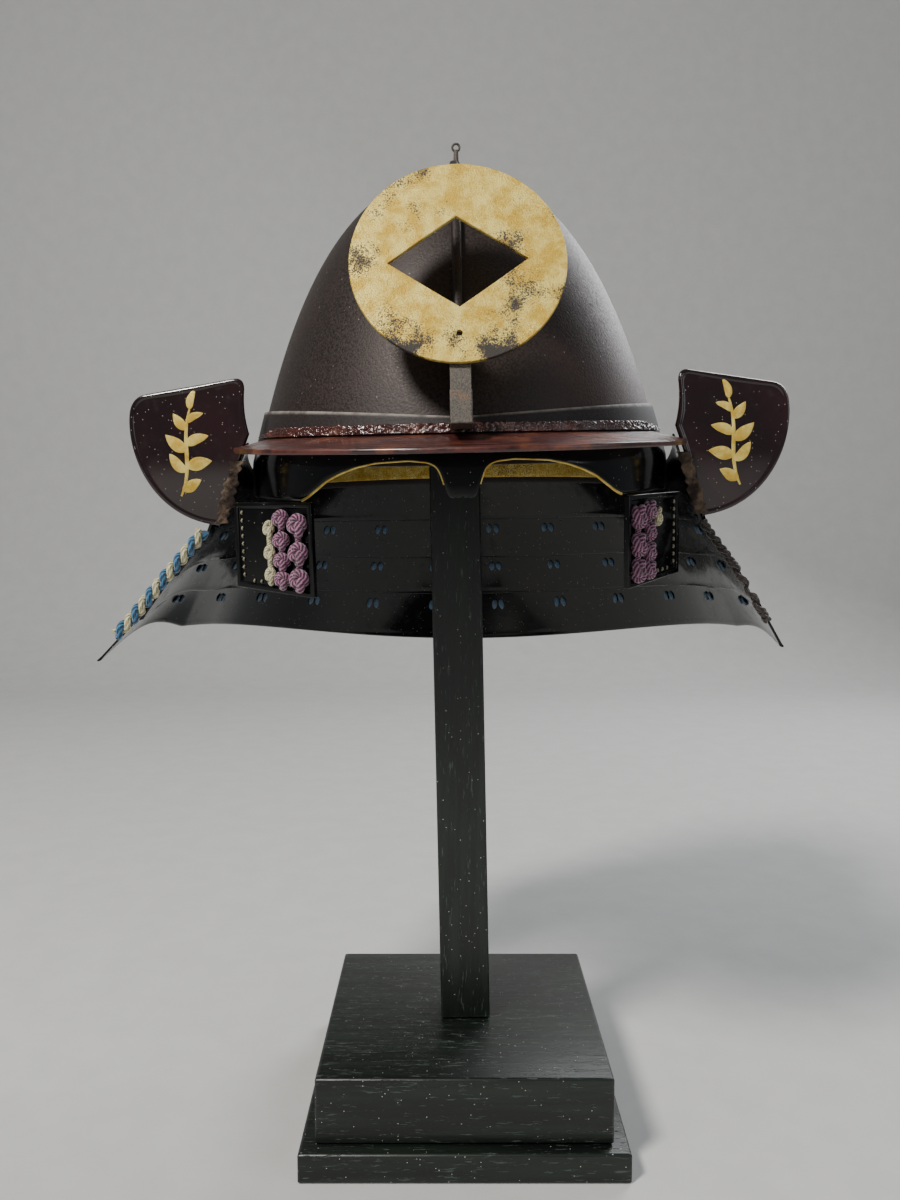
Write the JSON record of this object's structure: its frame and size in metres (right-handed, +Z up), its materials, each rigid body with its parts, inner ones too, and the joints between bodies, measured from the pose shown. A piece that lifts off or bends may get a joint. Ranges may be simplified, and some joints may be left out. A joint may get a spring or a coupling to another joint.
{
  "type": "kabuto samurai helmet on a wooden stand",
  "caption": "Samurai helmet with a tall ridged bowl, disc crest, visor, laced neck guard and turn-backs, on a square wooden stand.",
  "frame": {"origin": "middle of the stand's underside, on the surface it stands on", "axes": "+Z up; the helmet faces -Y; +X is to the right of someone looking at its front"},
  "size_m": [0.3543, 0.3353, 0.5331],
  "materials": {
    "russet_iron": "matt russet-black iron with a fine sandy tooth",
    "black_lacquer": "deep glossy black lacquer",
    "brown_lacquer": "glossy brown-black lacquer",
    "visor_lacquer": "worn red-brown lacquer over iron",
    "gold_leaf": "worn gold leaf",
    "gilt_lining": "mustard gold lacquered leather",
    "dark_iron": "grey-brown iron with light rust",
    "leather": "torn grey-brown leather",
    "purple_cord": "flat-braided mauve silk cord",
    "cream_cord": "braided cream silk cord",
    "blue_cord": "braided blue silk cord",
    "brown_cord": "frayed dark brown cord",
    "stained_wood": "black-green stained open-grain wood, worn edges"
  },
  "bodies": {
    "helmet": {"bowl": "russet_iron", "crown_pin": "dark_iron", "base_band": "black_lacquer", "rim_lining": "gilt_lining", "visor": "visor_lacquer", "visor_flange": "visor_lacquer", "crest_bracket": "dark_iron", "neck_plate_1": "black_lacquer", "neck_plate_2": "black_lacquer", "neck_plate_3": "black_lacquer", "neck_plate_4": "black_lacquer", "lacing_column_1": "blue_cord", "lacing_column_2": "blue_cord", "lacing_column_3": "blue_cord", "lacing_column_4": "blue_cord", "lacing_column_5": "blue_cord", "lacing_column_6": "blue_cord", "lacing_column_7": "blue_cord", "lacing_column_8": "blue_cord", "lacing_column_9": "blue_cord", "lacing_column_10": "blue_cord", "lacing_column_11": "blue_cord", "lacing_column_12": "blue_cord", "edge_lacing_left": "blue_cord", "edge_lacing_right": "brown_cord", "turn_back_left": "brown_lacquer", "leather_strip_left": "leather", "turn_back_right": "brown_lacquer", "leather_strip_right": "leather", "temple_plate_left": "black_lacquer", "inner_knots_left": "purple_cord", "outer_knots_left": "purple_cord", "cream_knots_left": "cream_cord", "temple_plate_right": "black_lacquer", "inner_knots_right": "purple_cord", "outer_knots_right": "purple_cord", "cream_knots_right": "cream_cord", "post": "stained_wood", "base_lower": "stained_wood", "base_upper": "stained_wood"},
    "crest": {"crest_disc": "gold_leaf", "crest_stem": "dark_iron"}
  },
  "joints": [
    {"name": "crest_lift", "type": "slide", "parent": "helmet", "child": "crest", "axis": [-0.0201, 0.2823, 0.9591], "range_m": [0, 0.012]}
  ]
}
